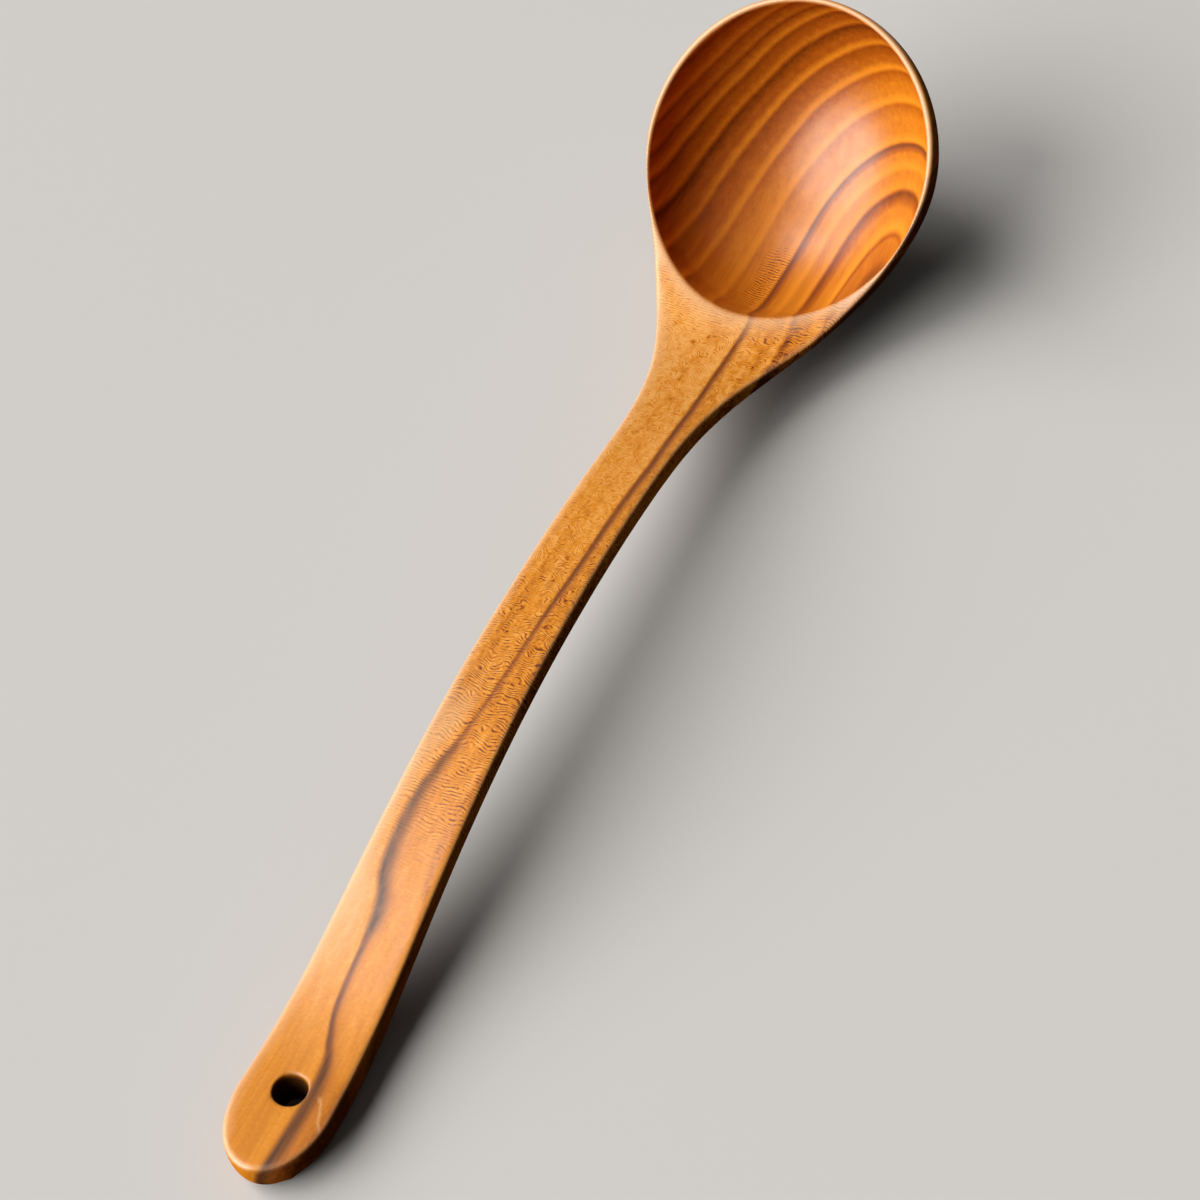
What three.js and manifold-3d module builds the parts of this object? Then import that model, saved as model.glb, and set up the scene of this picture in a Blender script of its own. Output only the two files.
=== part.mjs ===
// A wooden ladle, carved from one piece of timber: a deep round bowl, a flared neck and an arched
// handle with a hanging hole near its tail. It lies as on a table, on its tail and on its bowl.
// Sizes are in millimetres. +Z is up, and +X runs from the tail of the handle towards the bowl.

import * as THREE from "three";
import { mergeVertices } from "three/addons/utils/BufferGeometryUtils.js";
import Module from "manifold-3d";

// The handle, seen from above
const TAIL_WIDTH = 25.8; // where the taper would reach the very end
const TAIL_ROUNDING = 19.5; // length of the rounded end
const WAIST_PLACE = 210; // the narrowest place, from the tail's end along the top
const WAIST_WIDTH = 17.6;
const FLARE = 1.41; // how late the neck widens into the bowl: 1 is even, more is later

// The handle, seen from the side
const TAIL_THICKNESS = 11;
const TAIL_STRAIGHT = 9.5; // how far the tail lies level past its rounded end
const TAIL_EASE = 30; // how far the top then keeps near the tail's level
const TAIL_UNDER_EASE = 22; // the same along the underside
const HANDLE_THICKNESS = 8.5; // from the arch to the neck
const ARCH_PLACE = 153; // the arch's highest place, from the tail's end
const ARCH_HEIGHT = 30.8; // of the top, over the table
const ARCH_EASE = 65; // how far the handle keeps near the arch's height, to each side
const NECK_PLACE = 268; // the neck's lowest place, from the tail's end
const NECK_EASE = 22; // how far the handle keeps near the neck's height
const NECK_BEND = 40.5; // radius of the bend from the neck up to the rim
const NECK_UNDER_EASE = 12; // how far the underside keeps near the neck's height towards the bowl

// The handle's edges
const TOP_EDGE = 1.8; // radius along the top
const LOWER_EDGE = 4; // radius along the underside
const ROUND_BACK = 0.65; // share of the way from the waist to the rim's middle where it is fully round

// The hanging hole
const HOLE_DIAMETER = 8;
const HOLE_INSET = 21.4; // from the tail's end to the hole's middle

// The bowl
const RIM_TILT = THREE.MathUtils.degToRad(45.5);
const RIM_BACK = 18.5; // straight rim from the neck's bend to the rim's middle
const RIM_FRONT = 42.5; // from the rim's middle to its tip
const RIM_WIDTH = 81;
const RIM_EDGE = 0.7; // radius along the rim's outer edge
const TIP_EDGE = 0.25; // most that this radius takes of the bowl's depth, close to the tip
const RIM_WALL = 1.9; // of the bowl at its rim
const BOWL_DEPTH = 33; // outside, square to the rim
const BOWL_UNDER_EASE = 14; // how far the underside keeps near the table towards the neck
const FLOOR_WALL = 5; // of the bowl at its deepest place
const HOLLOW_BACK = 43; // from the rim's middle to the hollow's edge at the neck
const KEEL = 6; // width left flat along the bowl's underside
const STANDING_FLAT = 0.4; // depth sanded off the bowl where it stands on the table

// The finish of oiled wood
const WOOD_COLOUR = 0xb8702f;
const WOOD_ROUGHNESS = 0.5;

// How finely the curves are stepped
const TAIL_STEPS = 8;
const HANDLE_STEPS = 12;
const BEND_STEPS = 10;
const BACK_STEPS = 8;
const FRONT_STEPS = 16;
const EDGE_STEPS = 3;
const SIDE_STEPS = 9;
const HOLLOW_STEPS = 48;
const HOLLOW_HALF_STEPS = 6;
const HOLE_STEPS = 32;

const { clamp, lerp, smoothstep } = THREE.MathUtils;
const QUARTER_TURN = Math.PI / 2;
const TABLE = 0;
const TAIL_LEVEL = TAIL_ROUNDING + TAIL_STRAIGHT;
const BOWL_BACK = HOLLOW_BACK + FLOOR_WALL;
const ALONG_RIM = new THREE.Vector2(Math.cos(RIM_TILT), Math.sin(RIM_TILT));
const wasm = await Module();
wasm.setup();

// The middle lines of the top and of the underside, seen from the side, in matching stretches.
function sideLines(neckHeight) {
  const tailTop = new THREE.Vector2(TAIL_LEVEL, TAIL_THICKNESS);
  const tailUnder = new THREE.Vector2(TAIL_LEVEL, TABLE);
  const archTop = new THREE.Vector2(ARCH_PLACE, ARCH_HEIGHT);
  const archUnder = new THREE.Vector2(ARCH_PLACE, ARCH_HEIGHT - HANDLE_THICKNESS);
  const neckTop = new THREE.Vector2(NECK_PLACE, neckHeight);
  const neckUnder = new THREE.Vector2(NECK_PLACE, neckHeight - HANDLE_THICKNESS);
  const curveBetween = (start, startEase, end, endEase) => {
    const startPull = new THREE.Vector2(start.x + startEase, start.y);
    const endPull = new THREE.Vector2(end.x - endEase, end.y);
    return new THREE.CubicBezierCurve(start, startPull, endPull, end);
  };
  const rise = {
    top: curveBetween(tailTop, TAIL_EASE, archTop, ARCH_EASE),
    under: curveBetween(tailUnder, TAIL_UNDER_EASE, archUnder, ARCH_EASE),
  };
  const fall = {
    top: curveBetween(archTop, ARCH_EASE, neckTop, NECK_EASE),
    under: curveBetween(archUnder, ARCH_EASE, neckUnder, NECK_EASE),
  };

  // The top bends up into the rim, while the underside swells down to the bowl's lowest place.
  const bendTop = new THREE.EllipseCurve(
    neckTop.x, neckTop.y + NECK_BEND, NECK_BEND, NECK_BEND, -QUARTER_TURN, RIM_TILT - QUARTER_TURN,
  );
  const bendEnd = bendTop.getPoint(1);
  const rimMiddle = bendEnd.clone().addScaledVector(ALONG_RIM, RIM_BACK);
  const lowestTurn = -QUARTER_TURN - Math.atan((BOWL_BACK / BOWL_DEPTH) * Math.tan(RIM_TILT));
  const backUnder = new THREE.EllipseCurve(
    rimMiddle.x, rimMiddle.y, BOWL_BACK, BOWL_DEPTH, lowestTurn, -QUARTER_TURN, false, RIM_TILT,
  );
  const frontUnder = new THREE.EllipseCurve(
    rimMiddle.x, rimMiddle.y, RIM_FRONT, BOWL_DEPTH, -QUARTER_TURN, 0, false, RIM_TILT,
  );
  const bend = {
    top: bendTop,
    under: curveBetween(neckUnder, NECK_UNDER_EASE, backUnder.getPoint(0), BOWL_UNDER_EASE),
  };
  const back = { top: new THREE.LineCurve(bendEnd, rimMiddle), under: backUnder };
  return { rise, fall, bend, back, frontUnder, rimMiddle };
}

// The neck's height that lets the bowl's lowest place dip below the table by the flat sanded off it.
function settledNeckHeight() {
  const { back } = sideLines(TABLE);
  return TABLE - STANDING_FLAT - back.under.getPoint(0).y;
}

// The sections from the tail's end to the rim's tip: each has its place along the top, the middle of
// its top and the middle of its underside.
function sectionsAlong({ rise, fall, bend, back, frontUnder, rimMiddle }) {
  const sections = [];
  const addTail = (place) => {
    const top = new THREE.Vector2(place, TAIL_THICKNESS);
    sections.push({ place, top, under: new THREE.Vector2(place, TABLE) });
  };
  for (let step = 1; step <= TAIL_STEPS; step++) {
    addTail(TAIL_ROUNDING * (1 - Math.cos((step / TAIL_STEPS) * QUARTER_TURN)));
  }
  addTail(TAIL_LEVEL);

  let reached = TAIL_LEVEL;
  const addStretch = ({ top, under }, steps) => {
    const length = top.getLength();
    for (let step = 1; step <= steps; step++) {
      const share = step / steps;
      const place = reached + share * length;
      sections.push({ place, top: top.getPointAt(share), under: under.getPointAt(share) });
    }
    reached += length;
  };
  addStretch(rise, HANDLE_STEPS);
  addStretch(fall, HANDLE_STEPS);
  addStretch(bend, BEND_STEPS);
  addStretch(back, BACK_STEPS);
  for (let step = 1; step < FRONT_STEPS; step++) {
    const share = step / FRONT_STEPS;
    const fromMiddle = RIM_FRONT * Math.sin(share * QUARTER_TURN);
    const top = rimMiddle.clone().addScaledVector(ALONG_RIM, fromMiddle);
    sections.push({ place: reached + fromMiddle, top, under: frontUnder.getPoint(share) });
  }
  return { sections, rimPlace: reached };
}

// A section's outline as a closed ring of points: down its left side, then up its right side.
function ringOf({ place, top, under }, rimPlace) {
  const taper = Math.max(1 - place / WAIST_PLACE, 0) ** 2;
  const flare = clamp((place - WAIST_PLACE) / (rimPlace - WAIST_PLACE), 0, 1);
  const widening = smoothstep(flare ** FLARE, 0, 1);
  const width = WAIST_WIDTH + (TAIL_WIDTH - WAIST_WIDTH) * taper + (RIM_WIDTH - WAIST_WIDTH) * widening;
  const towardsEnd = clamp(1 - place / TAIL_ROUNDING, 0, 1);
  const towardsTip = clamp((place - rimPlace) / RIM_FRONT, 0, 1);
  const endRound = Math.sqrt(1 - towardsEnd ** 2);
  const tipRound = Math.sqrt(1 - towardsTip ** 2);
  const half = (width / 2) * endRound * tipRound;

  // The way in from the outline: along the handle at the tail's end, straight across elsewhere.
  const inward = new THREE.Vector2((width / 2) * towardsEnd, TAIL_ROUNDING * endRound).normalize();
  const depth = top.distanceTo(under);
  const left = [];
  const right = [];
  const addPair = (inset, drop) => {
    const { x, y } = top.clone().lerp(under, drop / depth);
    const across = half - inset * inward.y;
    left.push(new THREE.Vector3(x + inset * inward.x, across, y));
    right.push(new THREE.Vector3(x + inset * inward.x, -across, y));
  };
  const edge = Math.min(lerp(TOP_EDGE, RIM_EDGE, widening), depth * TIP_EDGE);
  for (let step = 0; step <= EDGE_STEPS; step++) {
    const angle = (step / EDGE_STEPS) * QUARTER_TURN;
    addPair(edge * (1 - Math.sin(angle)), edge * (1 - Math.cos(angle)));
  }
  const roundness = smoothstep(flare, 0, ROUND_BACK);
  const keel = Math.min(KEEL, half) / 2;
  const wide = lerp(LOWER_EDGE, half - keel, roundness);
  const deep = lerp(LOWER_EDGE, depth - edge, roundness);
  for (let step = 1; step <= SIDE_STEPS; step++) {
    const angle = (step / SIDE_STEPS) * QUARTER_TURN;
    addPair(wide * (1 - Math.cos(angle)), depth - deep * (1 - Math.sin(angle)));
  }
  return [...left, ...right.reverse()];
}

// The ladle before it is hollowed: the rings joined one to the next, with closed ends.
function blankGeometry(lines) {
  const { sections, rimPlace } = sectionsAlong(lines);
  const rings = sections.map((section) => ringOf(section, rimPlace));
  const around = rings[0].length;
  const last = (rings.length - 1) * around;
  const faces = [];
  const addQuad = (a, b, c, d) => {
    faces.push(a, b, c, a, c, d);
  };
  for (let ring = 0; ring < last; ring += around) {
    for (let spot = 0; spot < around; spot++) {
      const next = (spot + 1) % around;
      addQuad(ring + spot, ring + around + spot, ring + around + next, ring + next);
    }
  }
  for (let spot = 0; spot < around / 2 - 1; spot++) {
    const facing = around - 1 - spot;
    addQuad(spot, spot + 1, facing - 1, facing);
    addQuad(last + spot, last + facing, last + facing - 1, last + spot + 1);
  }
  const geometry = new THREE.BufferGeometry().setFromPoints(rings.flat());
  geometry.setIndex(faces);
  return geometry;
}

// The hollow of the bowl: half an egg, carried straight up past the rim.
function hollowGeometry({ rimMiddle }) {
  const front = RIM_FRONT - RIM_WALL;
  const profile = new THREE.Path();
  profile.absarc(0, 0, 1, -QUARTER_TURN, 0);
  profile.lineTo(1, 1);
  profile.lineTo(0, 1);
  const geometry = new THREE.LatheGeometry(profile.getPoints(HOLLOW_HALF_STEPS), HOLLOW_STEPS);
  geometry.scale((front + HOLLOW_BACK) / 2, BOWL_DEPTH - FLOOR_WALL, RIM_WIDTH / 2 - RIM_WALL);
  geometry.translate((front - HOLLOW_BACK) / 2, 0, 0);
  geometry.rotateX(QUARTER_TURN);
  geometry.rotateY(-RIM_TILT);
  return geometry.translate(rimMiddle.x, 0, rimMiddle.y);
}

// The hanging hole, drilled straight down through the tail.
function holeGeometry() {
  const radius = HOLE_DIAMETER / 2;
  const geometry = new THREE.CylinderGeometry(radius, radius, TAIL_THICKNESS * 2, HOLE_STEPS);
  geometry.rotateX(QUARTER_TURN);
  return geometry.translate(HOLE_INSET, 0, TAIL_THICKNESS / 2);
}

// Everything under the table's top, as far as the ladle reaches.
function underTableGeometry({ rimMiddle }) {
  const reach = 2 * (rimMiddle.x + RIM_FRONT + BOWL_DEPTH);
  return new THREE.BoxGeometry(reach, reach, reach).translate(0, 0, TABLE - reach / 2);
}

// A geometry's faces as a solid that can be cut.
function solidOf(geometry) {
  const bare = geometry.clone();
  bare.deleteAttribute("normal");
  bare.deleteAttribute("uv");
  const merged = mergeVertices(bare);
  const triVerts = [];
  for (let first = 0; first < merged.index.count; first += 3) {
    const corners = [first, first + 1, first + 2].map((at) => merged.index.getX(at));
    if (new Set(corners).size === 3) {
      triVerts.push(...corners);
    }
  }
  const mesh = new wasm.Mesh({
    numProp: 3,
    vertProperties: merged.getAttribute("position").array,
    triVerts: new Uint32Array(triVerts),
  });
  return new wasm.Manifold(mesh);
}

const lines = sideLines(settledNeckHeight());
const carved = solidOf(blankGeometry(lines))
  .subtract(solidOf(hollowGeometry(lines)))
  .subtract(solidOf(holeGeometry()))
  .subtract(solidOf(underTableGeometry(lines)))
  .getMesh();

const geometry = new THREE.BufferGeometry();
geometry.setAttribute("position", new THREE.BufferAttribute(carved.vertProperties, 3));
geometry.setIndex(new THREE.BufferAttribute(carved.triVerts, 1));
geometry.computeBoundingBox();
const middle = geometry.boundingBox.getCenter(new THREE.Vector3());
geometry.translate(-middle.x, -middle.y, -geometry.boundingBox.min.z);
geometry.computeVertexNormals();

const wood = new THREE.MeshStandardMaterial({
  color: WOOD_COLOUR,
  roughness: WOOD_ROUGHNESS,
  metalness: 0,
});
const ladle = new THREE.Mesh(geometry, wood);
ladle.name = "ladle";

const part = new THREE.Group();
part.name = "wooden_ladle";
part.add(ladle);
export default part;
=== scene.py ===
import math
import bmesh
import bpy
from mathutils import Matrix, Vector
from mathutils.geometry import interpolate_bezier


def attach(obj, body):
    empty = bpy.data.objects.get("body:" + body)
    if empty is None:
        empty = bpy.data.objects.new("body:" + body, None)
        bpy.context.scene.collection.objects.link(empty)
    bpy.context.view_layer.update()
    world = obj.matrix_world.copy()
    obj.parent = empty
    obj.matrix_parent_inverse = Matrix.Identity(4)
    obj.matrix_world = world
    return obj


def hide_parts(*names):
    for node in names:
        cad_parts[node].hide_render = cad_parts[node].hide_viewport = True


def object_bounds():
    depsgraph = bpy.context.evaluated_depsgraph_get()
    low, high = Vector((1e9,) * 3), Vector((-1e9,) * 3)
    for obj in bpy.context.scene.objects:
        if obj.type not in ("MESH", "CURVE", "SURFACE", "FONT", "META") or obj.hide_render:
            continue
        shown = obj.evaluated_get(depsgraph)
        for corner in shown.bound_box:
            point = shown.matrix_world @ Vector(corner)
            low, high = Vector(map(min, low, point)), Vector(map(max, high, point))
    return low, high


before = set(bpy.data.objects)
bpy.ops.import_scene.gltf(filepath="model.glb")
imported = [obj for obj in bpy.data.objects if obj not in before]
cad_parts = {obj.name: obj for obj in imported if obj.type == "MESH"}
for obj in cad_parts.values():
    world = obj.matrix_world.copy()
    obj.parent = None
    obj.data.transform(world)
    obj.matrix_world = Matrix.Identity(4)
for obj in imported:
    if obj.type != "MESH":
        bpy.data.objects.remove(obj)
cad_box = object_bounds()

# The ladle's driving sizes, in metres, with its tilt in radians. FLARE and ROUND_BACK have no unit.
# +X runs from the tail of the handle towards the bowl.
TAIL_WIDTH = 0.0258
TAIL_ROUNDING = 0.0195
WAIST_PLACE = 0.210
WAIST_WIDTH = 0.0176
FLARE = 1.41
TAIL_THICKNESS = 0.011
TAIL_LEVEL = 0.029
TAIL_EASE = 0.030
TAIL_UNDER_EASE = 0.022
HANDLE_THICKNESS = 0.0085
ARCH_PLACE = 0.153
ARCH_HEIGHT = 0.0308
ARCH_EASE = 0.065
NECK_PLACE = 0.268
NECK_EASE = 0.022
NECK_BEND = 0.0405
NECK_UNDER_EASE = 0.012
TOP_EDGE = 0.0013
LOWER_EDGE = 0.004
ROUND_BACK = 0.65
HOLE_RADIUS = 0.004
HOLE_INSET = 0.0214
HOLE_EDGE = 0.0002
RIM_TILT = math.radians(45.5)
RIM_BACK = 0.0185
RIM_FRONT = 0.0425
RIM_WIDTH = 0.081
RIM_EDGE = 0.0007
HOLLOW_EDGE = 0.0006
RIM_WALL = 0.0019
BOWL_DEPTH = 0.033
BOWL_UNDER_EASE = 0.014
FLOOR_WALL = 0.005
HOLLOW_BACK = 0.043
KEEL = 0.006
STANDING_FLAT = 0.0004

# How the mesh is laid out: columns across the handle, spokes round the bowl, stations along the handle
GRID = 12
SPOKES = 4 * GRID
CORNER = GRID // 2
FLAT = CORNER - 1
TURN = 2 * math.pi / SPOKES
HALF_CORNER = math.sin(math.pi / 4)
CORNER_PULL = 0.19
FULLNESS = 0.65
SWELL = 1.006
FLOOR_REACH = 0.5
UNDER_REACH = 0.3
SQUARENESS = 0.85
NECK_STATIONS = 5
STRAIGHT_PLACE = 0.245
HANDLE_STATIONS = 17
HOLE_BLOCK = 2
TAIL_LOWER_EDGE = 0.0062
TAIL_LOWER_REACH = 0.040
INSIDE_TURNS = [math.radians(a) for a in (54, 63, 72, 80)]
LIP_SHARE = 0.6
OUTSIDE_TURNS = [math.radians(a) for a in (82, 74.5, 62, 50, 38)]
TOP, EDGE, SIDE, UNDER, LIP, HOLLOW, OUTSIDE = range(7)
HANDLE_ROWS = (TOP, EDGE, SIDE, UNDER)
NOTES = ("spoke", "row", "station")
LINE_STEPS = 200
MERGE = 1e-6
LOWER_CORNER = 2
PLAIN_STEPS = 2
SMOOTHING_LEVELS = 2

# Marks for the finish: the rim and the edges, paler from wear and a painted highlight that is stronger on
# the left, the painted shade in the hole, and the hollow; then how much paler the rim and the edges are,
# from 0 to 1
MARKS = ("wear_and_highlight", "hole_shade", "hollow")
RIM_WEAR_AND_HIGHLIGHT = 0.8
LEFT_WEAR_AND_HIGHLIGHT = 1.0
RIGHT_WEAR = 0.3
BESIDE_WEAR = 0.35
NECK_WEAR = 0.25


def limited(value):
    return min(max(value, 0), 1)


def smooth(value):
    share = limited(value)
    return share * share * (3 - 2 * share)


def part_way(start, end, share):
    return start + (end - start) * share


# The side view: the middle lines of the top and of the underside

def level_curve(start, start_ease, end, end_ease):
    start_pull = start + Vector((start_ease, 0))
    end_pull = end - Vector((end_ease, 0))
    return interpolate_bezier(start, start_pull, end_pull, end, LINE_STEPS)


def stepped(curve, start, end):
    return [curve(part_way(start, end, step / LINE_STEPS)) for step in range(LINE_STEPS + 1)]


def line_length(points):
    return sum((b - a).length for a, b in zip(points, points[1:]))


def point_along(points, share):
    left = share * line_length(points)
    for a, b in zip(points, points[1:]):
        step = (b - a).length
        if left <= step:
            return a.lerp(b, left / step)
        left -= step
    return points[-1].copy()


ALONG = Vector((math.cos(RIM_TILT), math.sin(RIM_TILT)))
UPRIGHT = Vector((-ALONG.y, ALONG.x))
BOWL_BACK = HOLLOW_BACK + FLOOR_WALL


def side_lines(neck_height):
    arch = Vector((ARCH_PLACE, ARCH_HEIGHT))
    neck = Vector((NECK_PLACE, neck_height))
    thick = Vector((0, HANDLE_THICKNESS))
    tail_top = Vector((TAIL_LEVEL, TAIL_THICKNESS))
    tail_under = Vector((TAIL_LEVEL, 0))
    bend_middle = neck + Vector((0, NECK_BEND))
    bend_top = stepped(lambda a: bend_middle + NECK_BEND * Vector((math.sin(a), -math.cos(a))), 0, RIM_TILT)
    rim_middle = bend_top[-1] + RIM_BACK * ALONG
    lowest_turn = math.atan(BOWL_BACK / BOWL_DEPTH * math.tan(RIM_TILT))

    def back_under(turn):
        return rim_middle - BOWL_BACK * math.sin(turn) * ALONG - BOWL_DEPTH * math.cos(turn) * UPRIGHT

    lowest = back_under(lowest_turn)
    stretches = [
        ([Vector((0, TAIL_THICKNESS)), tail_top], [Vector((0, 0)), tail_under]),
        (level_curve(tail_top, TAIL_EASE, arch, ARCH_EASE),
         level_curve(tail_under, TAIL_UNDER_EASE, arch - thick, ARCH_EASE)),
        (level_curve(arch, ARCH_EASE, neck, NECK_EASE),
         level_curve(arch - thick, ARCH_EASE, neck - thick, NECK_EASE)),
        (bend_top, level_curve(neck - thick, NECK_UNDER_EASE, lowest, BOWL_UNDER_EASE)),
        ([bend_top[-1], rim_middle], stepped(back_under, lowest_turn, 0)),
    ]
    return stretches, rim_middle, lowest.y


# The bowl reaches just below the table, where its underside is cut flat. The shift sets its front in the
# solids' box.
NECK_HEIGHT = -STANDING_FLAT - side_lines(0)[2]
STRETCHES, UNMOVED_MIDDLE, _ = side_lines(NECK_HEIGHT)
LENGTHS = [line_length(top) for top, under in STRETCHES]
RIM_PLACE = sum(LENGTHS)
FRONT_REACH = math.hypot(RIM_FRONT * ALONG.x, BOWL_DEPTH * ALONG.y)
SHIFT = Vector((cad_box[1][0] - FRONT_REACH - UNMOVED_MIDDLE.x, 0))
RIM_MIDDLE = UNMOVED_MIDDLE + SHIFT


def section_at(place):
    left = place
    for (top, under), length in zip(STRETCHES, LENGTHS):
        if left <= length or length == LENGTHS[-1]:
            share = left / length
            return point_along(top, share) + SHIFT, point_along(under, share) + SHIFT
        left -= length


# The handle's sections

def flare_at(place):
    return limited((place - WAIST_PLACE) / (RIM_PLACE - WAIST_PLACE))


def widening_at(place):
    return smooth(flare_at(place) ** FLARE)


def full_half_width(place):
    taper = max(1 - place / WAIST_PLACE, 0) ** 2
    widened = (RIM_WIDTH - WAIST_WIDTH) * widening_at(place)
    return (WAIST_WIDTH + (TAIL_WIDTH - WAIST_WIDTH) * taper + widened) / 2


def lower_edge_at(place):
    return part_way(TAIL_LOWER_EDGE, LOWER_EDGE, smooth(place / TAIL_LOWER_REACH))


def handle_spot(place, column, row, spread):
    """A point of the section at this place: spread is 0 where the columns stand evenly, as on the bowl's
    spokes, and 1 where they crowd towards the handle's edges."""
    top, under = section_at(place)
    depth = (top - under).length
    half = full_half_width(place)
    edge = part_way(TOP_EDGE, RIM_EDGE, widening_at(place))
    aside = abs(column)
    if row == TOP:
        corner_inset = edge * CORNER_PULL
        drop = corner_inset if aside == CORNER else 0
        inset = corner_inset if aside == CORNER else edge
        crowded = (half - inset) * min(aside / FLAT, 1)
        even = (half - corner_inset) * math.sin(aside * TURN) / HALF_CORNER
        across = part_way(even, crowded, spread)
    else:
        roundness = smooth(flare_at(place) / ROUND_BACK)
        keel = min(KEEL, half) / 2
        wide = part_way(lower_edge_at(place), half - keel, roundness)
        deep = part_way(lower_edge_at(place), depth - edge, roundness)
        # steps down from the top's edge: the edge, the side, then inwards underneath from the lower corner
        down = {EDGE: 0, SIDE: 1, UNDER: LOWER_CORNER + CORNER - aside}[row]
        last = LOWER_CORNER + CORNER
        corner_start = LOWER_CORNER - 1
        corner_end = LOWER_CORNER + 1
        square_turn = limited((down - corner_start) / (corner_end - corner_start))
        square_flat = max(down - corner_end, 0) / (last - corner_end)
        round_flat = 1 if down == last else 0
        turn = part_way(square_turn, down / last, roundness) * math.pi / 2
        flat = part_way(square_flat, round_flat, roundness)
        pull = part_way(CORNER_PULL / (1 - HALF_CORNER), 1, roundness) if down == LOWER_CORNER else 1
        inset = wide * (1 - math.cos(turn)) * pull
        drop = edge if down == 0 else depth - deep * (1 - math.sin(turn)) * pull
        across = (half - inset) * (1 - flat)
    middle = top.lerp(under, drop / depth)
    return Vector((middle.x, math.copysign(across, column), middle.y))


def tail_outline(place_start, angle):
    """The tail's round end in plan: the place, the half width and the way inwards at this turn of it."""
    start = math.asin(1 - place_start / TAIL_ROUNDING)
    turn = part_way(start, math.pi / 2, angle / (math.pi / 2))
    place = TAIL_ROUNDING * (1 - math.sin(turn))
    half = full_half_width(place)
    inward = Vector((half * math.sin(turn), -TAIL_ROUNDING * math.cos(turn))).normalized()
    return Vector((place, half * math.cos(turn))), inward


def tail_spot(place_start, station, column, row):
    """A point of the tail's round end, where columns and stations together fan out to the outline."""
    aside = abs(column)
    ring = max(aside, station)
    if ring == 0:
        angle = 0
    elif aside >= station:
        angle = math.pi / 4 * station / aside
    else:
        angle = math.pi / 2 - math.pi / 4 * aside / station
    outline, inward = tail_outline(place_start, angle)
    lower_edge = lower_edge_at(outline.x)
    corner = {TOP: TOP_EDGE, EDGE: 0, SIDE: 0, UNDER: lower_edge}[row]
    top, under = section_at(outline.x)
    height = {TOP: top.y, EDGE: top.y - TOP_EDGE, SIDE: under.y + lower_edge, UNDER: under.y}[row]
    middle = Vector((place_start, 0))
    if ring == CORNER:
        spot = outline + inward * corner * CORNER_PULL
        lowering = corner * CORNER_PULL
        height += lowering if row == UNDER else -lowering
    else:
        flat_edge = outline + inward * corner
        spot = middle.lerp(flat_edge, ring / FLAT)
    return Vector((spot.x + SHIFT.x, math.copysign(spot.y, column), height))


# The bowl, in a frame of its rim: along it, across it and square to it

def rim_spot(along, across, height):
    middle = RIM_MIDDLE + along * ALONG + height * UPRIGHT
    return Vector((middle.x, across, middle.y))


def bend_turn(along):
    return math.asin(limited((-along - RIM_BACK) / NECK_BEND))


def rim_height(along):
    return NECK_BEND * (1 - math.cos(bend_turn(along)))


def rim_place(along):
    if along > -RIM_BACK:
        return RIM_PLACE + along
    return RIM_PLACE - RIM_BACK - NECK_BEND * bend_turn(along)


HOLLOW_MIDDLE = (RIM_FRONT - RIM_WALL - HOLLOW_BACK) / 2
HOLLOW_HALF_LENGTH = (RIM_FRONT - RIM_WALL + HOLLOW_BACK) / 2
HOLLOW_HALF_WIDTH = RIM_WIDTH / 2 - RIM_WALL
HOLLOW_DEPTH = BOWL_DEPTH - FLOOR_WALL
CORNER_ALONG = -BOWL_BACK * HALF_CORNER
CORNER_PLACE = rim_place(CORNER_ALONG)
CORNER_HALF_WIDTH = full_half_width(CORNER_PLACE)
NECK_BULGE = CORNER_PLACE - rim_place(-BOWL_BACK)


def hollow_edge(angle):
    along = HOLLOW_MIDDLE + HOLLOW_HALF_LENGTH * math.cos(angle)
    return Vector((along, HOLLOW_HALF_WIDTH * math.sin(angle)))


def bowl_outline(angle):
    """The outline of the bowl's rim: round in front, flaring back to the neck, then across the neck."""
    if math.cos(angle) >= 0:
        return Vector((RIM_FRONT * math.cos(angle), RIM_WIDTH / 2 * math.sin(angle)))
    along = BOWL_BACK * math.cos(angle)
    if along >= CORNER_ALONG:
        return Vector((along, math.copysign(full_half_width(rim_place(along)), math.sin(angle))))
    return Vector((along, CORNER_HALF_WIDTH * math.sin(angle) / HALF_CORNER))


def hollow_spot(angle, turn):
    edge = hollow_edge(angle)
    along = HOLLOW_MIDDLE + (edge.x - HOLLOW_MIDDLE) * math.sin(turn)
    return rim_spot(along, edge.y * math.sin(turn), -HOLLOW_DEPTH * math.cos(turn))


def outside_spot(angle, turn):
    outline = bowl_outline(angle)
    behind = limited((CORNER_ALONG - outline.x) / (BOWL_BACK + CORNER_ALONG))
    raised = rim_height(max(outline.x, CORNER_ALONG)) * (1 - behind) * math.sin(turn) ** 2
    fullness = part_way(FULLNESS, 1, smooth(math.cos(angle)))
    wide = math.sin(turn) ** fullness * SWELL
    spot = rim_spot(outline.x * wide, outline.y * wide, raised - BOWL_DEPTH * SWELL * math.cos(turn))
    spot.z = max(spot.z, 0)
    return spot


def squared(column, line):
    """Where a vertex of a square grid lies on a round disc: squarish near the middle, round farther out."""
    ring = max(abs(column), abs(line))
    if ring == 0:
        return Vector((0, 0)), 0
    if abs(column) >= abs(line):
        angle = math.pi / 4 * line / abs(column)
        angle = angle if column > 0 else math.pi - angle
    else:
        angle = math.pi / 4 * column / abs(line)
        angle = math.pi / 2 - angle if line > 0 else angle - math.pi / 2
    return Vector((column, line)) / ring, angle


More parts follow.
